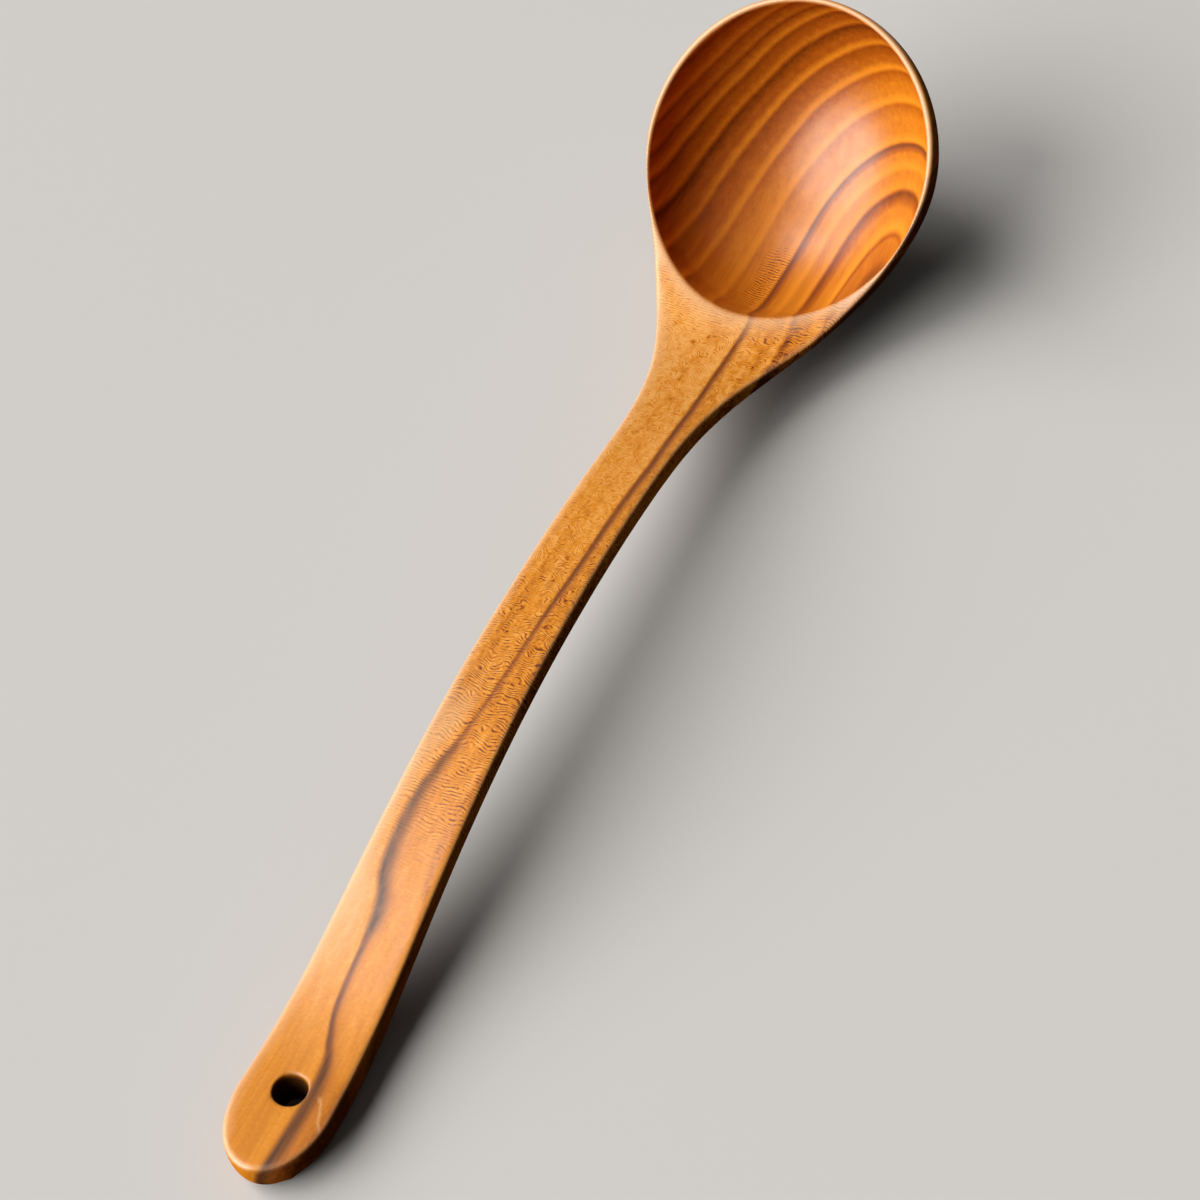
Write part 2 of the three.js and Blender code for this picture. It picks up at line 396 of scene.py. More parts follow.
def disc_spot(square, angle, reach):
    """Polar place on the disc, for a spoke's angle and reach from the middle."""
    round_spot = Vector((math.cos(angle), math.sin(angle)))
    spot = part_way(square * SQUARENESS, round_spot, smooth(reach / SQUARENESS)) * reach
    return math.atan2(spot.y, spot.x), spot.length


def place_grid(verts, reach, spoke_layer, surface_spot):
    for vert in verts:
        column = round(vert.co.x * CORNER)
        line = round(vert.co.y * CORNER)
        square, angle = squared(column, line)
        vert[spoke_layer] = round(angle / TURN) % SPOKES
        ring = max(abs(column), abs(line)) / CORNER
        polar, length = disc_spot(square, angle, ring * reach)
        vert.co = surface_spot(polar, length * math.pi / 2)


def new_verts(result):
    return [item for item in result["geom"] if isinstance(item, bmesh.types.BMVert)]


def bowl_mesh(mesh, spoke_layer, row_layer):
    """The bowl: a grid for the hollow's floor, then rows of faces up the hollow, over the rim and down the
    outside, closed by a second grid underneath. The neck grows later from the rows at its back."""
    def spoke_square(angle):
        widest = max(abs(math.cos(angle)), abs(math.sin(angle)))
        return Vector((math.cos(angle), math.sin(angle))) / widest

    def row_spot(surface_spot, turn):
        def spot(angle):
            polar, length = disc_spot(spoke_square(angle), angle, turn / (math.pi / 2))
            return surface_spot(polar, length * math.pi / 2)
        return spot

    def hollow_wall(drop):
        def spot(angle):
            edge = hollow_edge(angle)
            return rim_spot(edge.x, edge.y, rim_height(edge.x) - drop)
        return spot

    def hollow_lip(angle):
        edge = hollow_edge(angle)
        out = Vector((math.cos(angle), math.sin(angle))) * HOLLOW_EDGE
        return rim_spot(edge.x + out.x, edge.y + out.y, rim_height(edge.x + out.x))

    def outer_lip(angle):
        outline = bowl_outline(angle)
        out = Vector((math.cos(angle), math.sin(angle))) * RIM_EDGE
        inset = outline - out if outline.x >= CORNER_ALONG else outline
        top, _ = section_at(rim_place(inset.x))
        if outline.x >= -RIM_BACK:
            return rim_spot(inset.x, inset.y, 0)
        return Vector((top.x, inset.y, top.y))

    def outer_edge(angle):
        outline = bowl_outline(angle)
        height = rim_height(max(outline.x, CORNER_ALONG))
        return rim_spot(outline.x, outline.y, height - RIM_EDGE)

    def hollow_middle_wall(angle):
        low = hollow_spot(angle, INSIDE_TURNS[-1])
        return low.lerp(hollow_wall(HOLLOW_EDGE)(angle), LIP_SHARE)

    rows = [(row_spot(hollow_spot, turn), HOLLOW) for turn in INSIDE_TURNS]
    rows += [(hollow_middle_wall, HOLLOW), (hollow_wall(HOLLOW_EDGE), HOLLOW), (hollow_lip, LIP)]
    rows += [(outer_lip, TOP), (outer_edge, EDGE)]
    neck_rows = [SIDE, UNDER, OUTSIDE, OUTSIDE, OUTSIDE]
    rows += [(row_spot(outside_spot, turn), row) for turn, row in zip(OUTSIDE_TURNS, neck_rows)]

    floor = bmesh.ops.create_grid(mesh, x_segments=GRID, y_segments=GRID, size=1)["verts"]
    place_grid(floor, FLOOR_REACH, spoke_layer, hollow_spot)
    for vert in floor:
        vert[row_layer] = HOLLOW
    rim = [edge for edge in mesh.edges if edge.is_boundary]
    for spot, row in rows:
        result = bmesh.ops.extrude_edge_only(mesh, edges=rim)
        for vert in new_verts(result):
            vert.co = spot(vert[spoke_layer] * TURN)
            vert[row_layer] = row
        rim = [edge for edge in result["geom"] if isinstance(edge, bmesh.types.BMEdge) and edge.is_boundary]

    under = bmesh.ops.create_grid(mesh, x_segments=GRID, y_segments=GRID, size=1)["verts"]
    under_edges = [edge for edge in mesh.edges if edge.is_boundary and edge not in rim]
    place_grid(under, UNDER_REACH, spoke_layer, outside_spot)
    for vert in under:
        vert[row_layer] = OUTSIDE
    bmesh.ops.bridge_loops(mesh, edges=rim + under_edges)


def column_of(vert, spoke_layer):
    return SPOKES // 2 - vert[spoke_layer]


HOLE_STEP = (full_half_width(HOLE_INSET) - TOP_EDGE) / FLAT
FIRST_HOLE = HOLE_INSET + HOLE_BLOCK * HOLE_STEP
LAST_HOLE = HOLE_INSET - HOLE_BLOCK * HOLE_STEP
PLAIN_END = FIRST_HOLE + PLAIN_STEPS * HOLE_STEP
FIRST_HOLE_STATION = NECK_STATIONS + HANDLE_STATIONS + 1
LAST_HOLE_STATION = FIRST_HOLE_STATION + 2 * HOLE_BLOCK
END_STATION = LAST_HOLE_STATION + CORNER


def handle_stations():
    """Each station's place along the top, its middle columns' bulge towards the tail, and its spread."""
    stations = []
    for step in range(1, NECK_STATIONS + 1):
        share = step / NECK_STATIONS
        stations.append((part_way(CORNER_PLACE, STRAIGHT_PLACE, share), NECK_BULGE * (1 - share), share))
    for step in range(1, HANDLE_STATIONS + 1):
        share = step / HANDLE_STATIONS
        stations.append((part_way(STRAIGHT_PLACE, PLAIN_END, share), 0, 1))
    for step in range(2 * HOLE_BLOCK + 1):
        stations.append((FIRST_HOLE - step * HOLE_STEP, 0, 1))
    return stations


def grow_handle(mesh, spoke_layer, row_layer, station_layer):
    """The neck and the handle, grown station by station from the faces at the bowl's back."""
    def in_neck(vert):
        return vert[row_layer] in HANDLE_ROWS and abs(column_of(vert, spoke_layer)) <= CORNER

    stations = handle_stations()
    faces = [face for face in mesh.faces if all(in_neck(vert) for vert in face.verts)]
    for number in range(1, len(stations) + CORNER + 1):
        result = bmesh.ops.extrude_face_region(mesh, geom=faces)
        bmesh.ops.delete(mesh, geom=faces, context="FACES")
        faces = [item for item in result["geom"] if isinstance(item, bmesh.types.BMFace)]
        for vert in new_verts(result):
            column = column_of(vert, spoke_layer)
            row = vert[row_layer]
            vert[station_layer] = number
            if number > len(stations):
                vert.co = tail_spot(LAST_HOLE, number - len(stations), column, row)
                continue
            place, bulge, spread = stations[number - 1]
            curved = place - bulge * (1 - (column / CORNER) ** 2) if row == TOP else place
            vert.co = handle_spot(curved, column, row, spread)


def drill_hole(mesh, spoke_layer, row_layer, station_layer):
    """The hanging hole through the tail, with its edge just broken."""
    def in_block(vert, row):
        return (vert[row_layer] == row
                and FIRST_HOLE_STATION <= vert[station_layer] <= LAST_HOLE_STATION
                and abs(column_of(vert, spoke_layer)) <= HOLE_BLOCK)

    for row in (TOP, UNDER):
        block = [face for face in mesh.faces if all(in_block(vert, row) for vert in face.verts)]
        bmesh.ops.delete(mesh, geom=block, context="FACES")
    loops = [edge for edge in mesh.edges if edge.is_boundary]
    hole_middle = section_at(HOLE_INSET)[0].x
    corners = 8 * HOLE_BLOCK
    # the smoothing draws a loop of so many corners inwards, so it is laid a little wide
    radius = HOLE_RADIUS * 6 / (4 + 2 * math.cos(2 * math.pi / corners))
    for vert in {vert for edge in loops for vert in edge.verts}:
        out = Vector((vert.co.x - hole_middle, vert.co.y)).normalized() * radius
        vert.co = Vector((hole_middle + out.x, out.y, vert.co.z))
    bmesh.ops.bridge_loops(mesh, edges=loops)
    bmesh.ops.bevel(
        mesh, geom=loops, offset=HOLE_EDGE, segments=1, profile=0.5, affect="EDGES", material=-1)


def wear_and_highlight_at(vert, column, row, station):
    """How much paler the wood is here, from wear and a painted highlight that is stronger on the left: the
    rim, the edge across the neck, and the handle's upper edges.
    """
    at_side = abs(column) >= CORNER
    at_end = station == END_STATION
    if row == LIP:
        return RIM_WEAR_AND_HIGHLIGHT
    if row != TOP:
        return 0
    if station == 0:
        return RIM_WEAR_AND_HIGHLIGHT if at_side else NECK_WEAR
    if column == FLAT and not at_end:
        return BESIDE_WEAR
    if at_side or at_end:
        return LEFT_WEAR_AND_HIGHLIGHT if vert.co.y > 0 else RIGHT_WEAR
    return 0


def mark_wear_and_painted_light(mesh, spoke_layer, row_layer, station_layer):
    """Marks the rim and edges, paler from wear and a painted highlight, the painted shade on the wall of
    the hole, and the hollow.
    """
    wear_highlight_layer, hole_shade_layer, hollow_layer = [mesh.verts.layers.float[name] for name in MARKS]
    hole_middle = section_at(HOLE_INSET)[0].x
    for vert in mesh.verts:
        row = vert[row_layer]
        from_hole = math.hypot(vert.co.x - hole_middle, vert.co.y)
        vert[wear_highlight_layer] = wear_and_highlight_at(vert, column_of(vert, spoke_layer), row, vert[station_layer])
        vert[hole_shade_layer] = 1 if from_hole < HOLE_RADIUS + HOLE_EDGE else 0
        vert[hollow_layer] = 1 if row == HOLLOW else 0


def mesh_data(mesh, name):
    data = bpy.data.meshes.new(name)
    mesh.to_mesh(data)
    mesh.free()
    return data


def in_scene(name, data):
    item = bpy.data.objects.new(name, data)
    bpy.context.scene.collection.objects.link(item)
    return item


def carved_ladle():
    mesh = bmesh.new()
    for name in NOTES:
        mesh.verts.layers.int.new(name)
    for name in MARKS:
        mesh.verts.layers.float.new(name)
    layers = [mesh.verts.layers.int[name] for name in NOTES]
    spoke_layer, row_layer, _ = layers
    bowl_mesh(mesh, spoke_layer, row_layer)
    grow_handle(mesh, *layers)
    drill_hole(mesh, *layers)
    mark_wear_and_painted_light(mesh, *layers)
    for name in NOTES:
        mesh.verts.layers.int.remove(mesh.verts.layers.int[name])
    bmesh.ops.remove_doubles(mesh, verts=mesh.verts, dist=MERGE)
    bmesh.ops.recalc_face_normals(mesh, faces=mesh.faces)
    for face in mesh.faces:
        face.smooth = True
    ladle = in_scene("carved_ladle", mesh_data(mesh, "carved_ladle"))
    smoothing = ladle.modifiers.new("smoothing", "SUBSURF")
    smoothing.levels = SMOOTHING_LEVELS
    smoothing.render_levels = SMOOTHING_LEVELS
    return ladle


# Shader nodes

RISING = (0, 1)
FALLING = (1, 0)
MIDDLE_GREY = (0.5, 0.5, 0.5)


def add_node(tree, kind, sockets, **settings):
    node = tree.nodes.new(kind)
    for name, value in settings.items():
        setattr(node, name, value)
    for name, value in sockets.items():
        if isinstance(value, bpy.types.NodeSocket):
            tree.links.new(value, node.inputs[name])
        else:
            node.inputs[name].default_value = value
    return node


def reckon(tree, operation, *values):
    return add_node(tree, "ShaderNodeMath", dict(enumerate(values)), operation=operation).outputs[0]


def times(tree, first, *others):
    product = first
    for value in others:
        product = reckon(tree, "MULTIPLY", product, value)
    return product


def plus(tree, first, *others):
    total = first
    for value in others:
        total = reckon(tree, "ADD", total, value)
    return total


def vector(tree, operation, first, second):
    return add_node(tree, "ShaderNodeVectorMath", {0: first, 1: second}, operation=operation).outputs[0]


def attribute(tree, name):
    return add_node(tree, "ShaderNodeAttribute", {}, attribute_name=name).outputs["Fac"]


def scaled(tree, value, old, new=RISING, interpolation="LINEAR"):
    """The value moved from its old range to a new one, and held at the ends."""
    sockets = {"Value": value, 1: old[0], 2: old[1], 3: new[0], 4: new[1]}
    return add_node(tree, "ShaderNodeMapRange", sockets, interpolation_type=interpolation).outputs[0]


def follow_curve(tree, value, points, handle="AUTO"):
    """A line through a short list of points. Inside the node both axes run from 0 to 1."""
    places = [place for place, _ in points]
    heights = [height for _, height in points]
    low, high = min(heights), max(heights)
    length = places[-1] - places[0]
    shares = [((place - places[0]) / length, (height - low) / (high - low)) for place, height in points]
    curve = tree.nodes.new("ShaderNodeFloatCurve")
    line = curve.mapping.curves[0]
    line.points[0].location = shares[0]
    line.points[1].location = shares[-1]
    for share in shares[1:-1]:
        line.points.new(*share)
    for point in line.points:
        point.handle_type = handle
    curve.mapping.update()
    tree.links.new(scaled(tree, value, (places[0], places[-1])), curve.inputs["Value"])
    return scaled(tree, curve.outputs[0], RISING, (low, high))


def noise(tree, place, lengths, detail=2.0, roughness=0.5, output="Fac"):
    """Noise whose features are about this long in each direction, in millimetres."""
    stretched = vector(tree, "MULTIPLY", place, Vector([1 / length for length in lengths]))
    sockets = {"Vector": stretched, "Scale": 1.0, "Detail": detail, "Roughness": roughness}
    return add_node(tree, "ShaderNodeTexNoise", sockets).outputs[output]


def drift(tree, place, lengths, reach, detail, roughness):
    """A shift of the fibres, up to half of this reach to either side."""
    colour = noise(tree, place, lengths, detail, roughness, "Color")
    return vector(tree, "MULTIPLY", vector(tree, "SUBTRACT", colour, MIDDLE_GREY), reach)


def colour_ramp(tree, value, stops):
    ramp = add_node(tree, "ShaderNodeValToRGB", {"Fac": value})
    elements = ramp.color_ramp.elements
    elements[0].position = stops[0][0]
    elements[1].position = stops[-1][0]
    for position, _ in stops[1:-1]:
        elements.new(position)
    for element, (_, colour) in zip(elements, stops):
        element.color = (*colour, 1)
    return ramp.outputs["Color"]


def mix(tree, share, first, second):
    sockets = {0: share, 6: first, 7: second}
    return add_node(tree, "ShaderNodeMix", sockets, data_type="RGBA").outputs[2]


# The wood, in millimetres: growth rings round a crooked line, the pith, which lies beside the ladle.
# Short lists of pairs give a place along the ladle, and a value there.
MILLIMETRES = 1000
WANDER_LENGTHS = (90, 20, 20)
WANDER = (0, 1.8, 1.8)
WAVER_LENGTHS = (9, 1.1, 1.1)
WAVER = (0, 0.2, 0.2)
VEIN_PATH = [(-175, -3.9), (-158, -4.4), (-148.5, -4.4), (-138.5, -2.2), (-128, 0.5), (-111, 2.0),
             (-103, 3.3), (-95, 5.5), (-85, 5.8), (-71, 3.9), (-59.5, 0.6), (-45, -1.5), (-20, -3.1),
             (13, -4.7), (50, -5.1), (80, -4.3)]
VEIN_FROM_PITH = 40.6
PITH_ASIDE = 38.1
PITH_BESIDE_BOWL = [(95, -42.6), (110, -41), (135, -42.6), (160, -46.3), (175, -49.2)]
PITH_HEIGHT = [(-175, -3), (-145, -3), (-80, 9), (-20, 16.8), (40, 12), (94, 3.6), (110, 4.6), (135, 2.6),
               (160, -1.4), (175, -4.3)]

# Each ring's place from the vein, how dark its late wood is and how pale the line outside it is
RINGS = [(-38, 0.5, 0.4), (-33, 0.4, 0.2), (-27.5, 0.6, 0.2), (-22.5, 0.6, 0.1), (-18.3, 0.5, 0.6),
         (-10.5, 0.8, 0.35), (-5.8, 0.05, 0.5), (0.5, 0.8, 0.5), (10.8, 0.28, 0.55), (20.3, 0.28, 0.55),
         (28.4, 0.3, 0.5), (35.8, 0.65, 0.3), (41.4, 0.35, 0.45), (45.2, 0.45, 0.2), (49, 0.35, 0.35),
         (54, 0.5, 0.4)]
PALE_LINE = 0.8
PALE_FADE = 2.8
LATE_WOOD = 0.4
LATE_FADE = 3.8
LEAST_BODY = 0.3
MIDDLE_TONE = 0.55
HEART_TONE = 0.34
HEART = (13, 30)
CORE_TONE = 0.36
CORE = (-18.5, -21)

# How strongly the rings show. Low in the bowl they fade. On the neck and the handle they change along the
# way, and from one side of the vein to the other.
FADED_FIRST = (4, 8)
FADED_LAST = (31, 34)
FADED_ALONG = (104, 116)
FADED_HEIGHT = (10, 28)
FADED_SHARE = (0.45, 0)
RING_STRENGTH = [(-175, 0.45), (-100, 0.35), (-40, 0.5), (5, 0.9), (45, 1.3), (80, 1.3), (97, 0.9),
                 (175, 0.8)]
FAR_LEFT = (8, 12)
FAR_LEFT_STRENGTH = (1, 0.3)
LEFT_OF_VEIN = (3, 7)
LEFT_STRENGTH = (0.55, 1)
RIGHT_OF_VEIN = (-7, -4)
RIGHT_STRENGTH = (1.1, 0.55)

# A faint line left of the vein, on the neck and the handle: darker up to it, paler past it
FAINT_LINE = 7.6
FAINT_BEFORE = (-3, -0.3)
FAINT_DARK = (0, -0.12)
FAINT_PAST = (0, 0.6)
FAINT_TURN = (1, -0.6)

# What makes the wood paler or darker from place to place, with painted light and shade: sheen along the
# handle, and shade in the hollow, at its left corner and on the sides
# paler along the neck and the handle: partly the wood's own tone, partly painted light and sheen on the
# neck and the lower handle
PALENESS_AND_SHEEN = [(-175, 0.16), (-150, 0.16), (-130, 0.24), (-106, 0.27), (-82, 0.22), (-66, 0.24), (-52, 0.17),
            (-20, 0.19), (16, 0.33), (55, 0.36), (82, 0.46), (100, 0.34), (140, 0.1), (175, 0.1)]
PITH_SIDE = (-6, 1)
NEAR_PITH = [(-175, -0.32), (-150, -0.28), (-138, -0.08), (-120, -0.12), (-75, -0.09), (-45, -0.15),
             (0, -0.18), (60, -0.28), (84, -0.29), (95, -0.33), (175, -0.3)]
# the hollow a little darker: partly darker wood, partly painted shade in the recess
HOLLOW_SHADE_TONE = -0.06
# painted shade at the hollow's left corner by the neck, cast by the left rim
LEFT_SHADE_PLACE = 105
LEFT_SHADE_SLANT = -0.6
LEFT_SHADE_REACH = (-3, 14)
LEFT_SHADE_TONE = (0, -0.07)
# painted shade: the sides and the underside darker, the tail's end less so
SIDE_FACING = (0.15, 0.6)
SIDE_SHADE = (-0.38, 0)
END_FACING = (-0.9, -0.4)
END_SHARE = (0.35, 1)

# Streaks and fibres along the grain, calmer in the hollow
STREAK_LENGTHS = (55, 1.8, 1.8)
STREAK_RANGE = (0.25, 0.75)
STREAK_TONE = (-0.14, 0.14)
FIBRE_LENGTHS = (16, 0.5, 0.5)
FIBRE_RANGE = (0.2, 0.8)
FIBRE_TONE = (-0.09, 0.09)
CALM = (1, 0.45)

# The curly ripple across the grain, with speckle and shimmer
RIPPLE = [(-175, 0), (-120, 0.1), (-95, 0.3), (-60, 1.6), (-20, 1.4), (20, 0.8), (60, 0.8), (84, 1.2),
          (112, 1.5), (128, 1.7), (136, 0.1), (175, 0)]
CURL = [(-175, 10), (-90, 10), (-60, 14), (-30, 24), (20, 36), (84, 30), (108, 8), (175, 6)]
RIPPLE_SCALE = (0.37, 0.27, 0.27)
RIPPLE_DETAIL = 0.6
RIPPLE_DETAIL_SCALE = 0.8
RIPPLE_DETAIL_ROUGHNESS = 0.5
RIPPLE_RANGE = (0, 0.6)
RIPPLE_DEPTH = (-1.2, 0.5)
RIPPLE_TONE = 0.24
PATCH_LENGTHS = (9, 4, 4)
PATCH_RANGE = (0.22, 0.44)
BREAK_LENGTHS = (1.5, 1.0, 1.0)
BREAK_RANGE = (0.38, 0.58)
BREAK_SHARE = (0.1, 1.35)
BESIDE_VEIN_START = (0, 1.5)
BESIDE_VEIN_END = (5, 8)
SPECKLE = [(-175, 0.45), (-100, 0.55), (-60, 0.8), (-20, 1.2), (50, 1), (85, 0.7), (104, 0.3), (112, 0),
           (175, 0)]
SPECKLE_LENGTHS = (0.75, 1.1, 1.1)
SPECKLE_RANGE = (0.34, 0.66)
SPECKLE_DEPTH = (-1, 1)
SPECKLE_TONE = 0.1
SHIMMER = [(-175, 0.2), (-100, 0.5), (-40, 1.2), (40, 1.5), (85, 2.6), (110, 1), (175, 0)]
SHIMMER_LENGTHS = (2.6, 1.9, 1.9)
SHIMMER_RANGE = (0.3, 0.7)
SHIMMER_TONE = (-0.09, 0.09)

# The wood's colours from its darkest tone to its palest
RAMP_SHARE = 0.8
WOOD_COLOURS = [(0.0, (0.13, 0.026, 0.003)), (0.24, (0.42, 0.098, 0.006)), (0.44, (0.67, 0.215, 0.012)),
                (0.64, (0.83, 0.29, 0.02)), (0.8, (0.92, 0.385, 0.068)), (1.0, (0.98, 0.46, 0.11))]

# The dark vein: sharp on its left, fading on its right, with a red blush beside it
VEIN_EDGE = 0.5
VEIN_WIDTH = [(-175, 4.0), (-160, 4.2), (-148, 3.8), (-140, 2.7), (-125, 2.0), (-112, 3.0), (-103, 4.6),
              (-90, 4.4), (-75, 3.8), (-64, 3.0), (-55, 1.6), (-40, 1.5), (0, 2.1), (60, 2.2), (110, 1.6),
              (175, 1.3)]
VEIN_STRENGTH = [(-175, 1), (-100, 1), (-84, 0.8), (-66, 0.8), (-57, 0.55), (-36, 0.65), (-18, 0.95),
                 (0, 1), (175, 1)]
VEIN_SHARP_SIDE = (-0.12, 0.2)
VEIN_SOFT_SIDE = (0.3, 0.95)
VEIN_PATCH_LENGTHS = (26, 0.9, 0.9)
VEIN_PATCH_RANGE = (0.3, 0.62)
VEIN_PATCH_SHARE = (0.72, 1)
BROAD_VEIN = (2.2, 4)
THIN_VEIN_COLOUR = (0.20, 0.052, 0.010, 1)
BROAD_VEIN_COLOUR = (0.094, 0.035, 0.014, 1)
BLUSH_START = (0, 0.3)
BLUSH_END = (0.5, 1.5)
BLUSH_STRENGTH = 0.5
BLUSH_COLOUR = (0.42, 0.115, 0.035, 1)

# Paler sapwood left of the vein, partly a painted sheen on the upward faces of the lower handle, and a pale
# scratch beside the hole
SAPWOOD_AND_SHEEN = [(-175, 0), (-142, 0.05), (-115, 0.25), (-88, 0.5), (-62, 0.5), (-46, 0.1), (-20, 0), (175, 0)]
SAPWOOD_AND_SHEEN_START = (0.6, 4)
SAPWOOD_AND_SHEEN_COLOUR = (0.88, 0.50, 0.24, 1)
SCRATCH_PLACE = -152.5
SCRATCH_END = -159.5
SCRATCH_FADE = 1
SCRATCH_ASIDE = -7.6
SCRATCH_SLANT = 0.46
SCRATCH_BEND_LENGTHS = (2.5, 2.5, 2.5)
SCRATCH_BEND = (-0.9, 0.9)
SCRATCH_WIDTH = (0.1, 0.8)
SCRATCH_STRENGTH = (0.42, 0)
SCRATCH_FACING = (0.3, 0.6)
SCRATCH_COLOUR = (0.90, 0.50, 0.22, 1)

# Painted shade on the wall of the hole, and the rim and edges, paler from wear and a painted highlight
HOLE_SHADE_STRENGTH = 0.92
HOLE_SHADE_COLOUR = (0.030, 0.012, 0.006, 1)
WEAR_AND_HIGHLIGHT_STRENGTH = 0.75
WEAR_AND_HIGHLIGHT_COLOUR = (0.88, 0.53, 0.29, 1)

# The finish: a thin film of oil on the faces that look up, over fine relief
POLISH_LENGTHS = (14, 2.5, 2.5)
POLISH_RANGE = (0.3, 0.7)
POLISH = (0.45, 0.6)
FILM_FACING = (0.1, 0.5)
FILM_LEAN = 0.6
FILM_LEANING = (0.15, 0.6)
FILM_SHARE = (1, 0.8)
BARE_GLOSS = 0.0
FILM_ROUGHNESS = 0.32
FILM_IOR = 1.65
RIPPLE_RELIEF = 0.5
SPECKLE_RELIEF = 0.3
FIBRE_RELIEF = 0.5
RELIEF_STRENGTH = 0.5
RELIEF_HEIGHT = 0.00006


def body_tone(place):
    core = part_way(MIDDLE_TONE, CORE_TONE, smooth((place - CORE[0]) / (CORE[1] - CORE[0])))
    return part_way(core, HEART_TONE, smooth((place - HEART[0]) / (HEART[1] - HEART[0])))


def ring_tones():
    """The wood's tone from ring to ring: a pale line, then the body, darkening into the late wood."""
    tones = [(RINGS[0][0] - LATE_FADE, MIDDLE_TONE)]
    for place, late, pale in RINGS:
        body = body_tone(place)
        earlier = tones[-1][0]
        fade = max(place - LATE_FADE, part_way(earlier, place, LEAST_BODY))
        tones.append((fade, body_tone(fade)))
        tones.append((place - LATE_WOOD, body * (1 - late)))
        tones.append((place + PALE_LINE, part_way(body, 1, pale)))
        tones.append((place + PALE_FADE, body_tone(place + PALE_FADE)))
    return tones


class Grain:
    """What the layers of the wood share: places in millimetres, the distance from the vein, counted away
    from the pith, the hollow, and the way that a face looks."""

    def __init__(self, tree):
        self.tree = tree
        metres = add_node(tree, "ShaderNodeTexCoord", {}).outputs["Object"]
        sockets = {0: metres, "Scale": MILLIMETRES}
        self.place = add_node(tree, "ShaderNodeVectorMath", sockets, operation="SCALE").outputs[0]
        wander = drift(tree, self.place, WANDER_LENGTHS, WANDER, detail=1.0, roughness=0.4)
        waver = drift(tree, self.place, WAVER_LENGTHS, WAVER, detail=2.0, roughness=0.6)
        self.wandered = vector(tree, "ADD", vector(tree, "ADD", self.place, wander), waver)
        axes = add_node(tree, "ShaderNodeSeparateXYZ", {0: self.wandered})
        self.along, self.across, self.height = axes.outputs
        self.ring = self.from_vein()
        self.hollow = attribute(tree, "hollow")
        self.outside = reckon(tree, "SUBTRACT", 1, self.hollow)
        normal = add_node(tree, "ShaderNodeTexCoord", {}).outputs["Normal"]
        self.facing = add_node(tree, "ShaderNodeSeparateXYZ", {0: normal}).outputs
        self.upward = self.facing["Z"]

    def curve(self, points):
        return follow_curve(self.tree, self.along, points)

    def from_vein(self):
        pith_path = [(x, y - PITH_ASIDE) for x, y in VEIN_PATH] + PITH_BESIDE_BOWL
        aside = reckon(self.tree, "SUBTRACT", self.across, self.curve(pith_path))
        above = reckon(self.tree, "SUBTRACT", self.height, self.curve(PITH_HEIGHT))
        squares = plus(self.tree, times(self.tree, aside, aside), times(self.tree, above, above))
        return reckon(self.tree, "SUBTRACT", reckon(self.tree, "SQRT", squares), VEIN_FROM_PITH)


def ringed_tone(tree, grain):
    """The growth rings: whole in the hollow, stronger or weaker along the neck and the handle."""
    tone = follow_curve(tree, grain.ring, ring_tones(), "VECTOR")
    heart = scaled(tree, grain.ring, HEART, (MIDDLE_TONE, HEART_TONE), "SMOOTHSTEP")
    first = scaled(tree, grain.ring, FADED_FIRST)
    last = scaled(tree, grain.ring, FADED_LAST, FALLING)
    in_bowl = scaled(tree, grain.along, FADED_ALONG)
    low_down = scaled(tree, grain.height, FADED_HEIGHT, FADED_SHARE)
    kept = reckon(tree, "SUBTRACT", 1, times(tree, first, last, in_bowl, low_down))
    tone = reckon(tree, "MULTIPLY_ADD", reckon(tree, "SUBTRACT", tone, heart), kept, heart)
    far_left = scaled(tree, grain.ring, FAR_LEFT, FAR_LEFT_STRENGTH)
    left = scaled(tree, grain.ring, LEFT_OF_VEIN, LEFT_STRENGTH)
    right = scaled(tree, grain.ring, RIGHT_OF_VEIN, RIGHT_STRENGTH)
    strength = times(tree, grain.curve(RING_STRENGTH), far_left, reckon(tree, "MAXIMUM", left, right))
    strength = reckon(tree, "MAXIMUM", strength, grain.hollow)
    return reckon(tree, "MULTIPLY_ADD", reckon(tree, "SUBTRACT", tone, MIDDLE_TONE), strength, MIDDLE_TONE)


def faint_line(tree, grain):
    off_line = reckon(tree, "SUBTRACT", grain.ring, FAINT_LINE)
    darker = scaled(tree, off_line, FAINT_BEFORE, FAINT_DARK)
    turned = scaled(tree, off_line, FAINT_PAST, FAINT_TURN)
    return times(tree, darker, turned, grain.outside, grain.curve(RIPPLE))


def paleness_and_painted_light(tree, grain):
    """The neck and the handle are paler than the hollow, and less so right of the vein: partly the wood's
    own tone, partly painted light and sheen along the neck and the handle, and painted shade in the hollow.
    """
    near_pith = times(tree, scaled(tree, grain.ring, PITH_SIDE, FALLING), grain.curve(NEAR_PITH))
    outer = times(tree, plus(tree, grain.curve(PALENESS_AND_SHEEN), near_pith), grain.outside)
    return reckon(tree, "MULTIPLY_ADD", grain.hollow, HOLLOW_SHADE_TONE, outer)


def painted_left_shade(tree, grain):
    """Painted shade: the hollow is darker towards its left, at the neck, where the left rim shades it."""
    past_neck = reckon(tree, "SUBTRACT", grain.along, LEFT_SHADE_PLACE)
    into_corner = reckon(tree, "MULTIPLY_ADD", past_neck, LEFT_SHADE_SLANT, grain.across)
    return times(tree, scaled(tree, into_corner, LEFT_SHADE_REACH, LEFT_SHADE_TONE), grain.hollow)


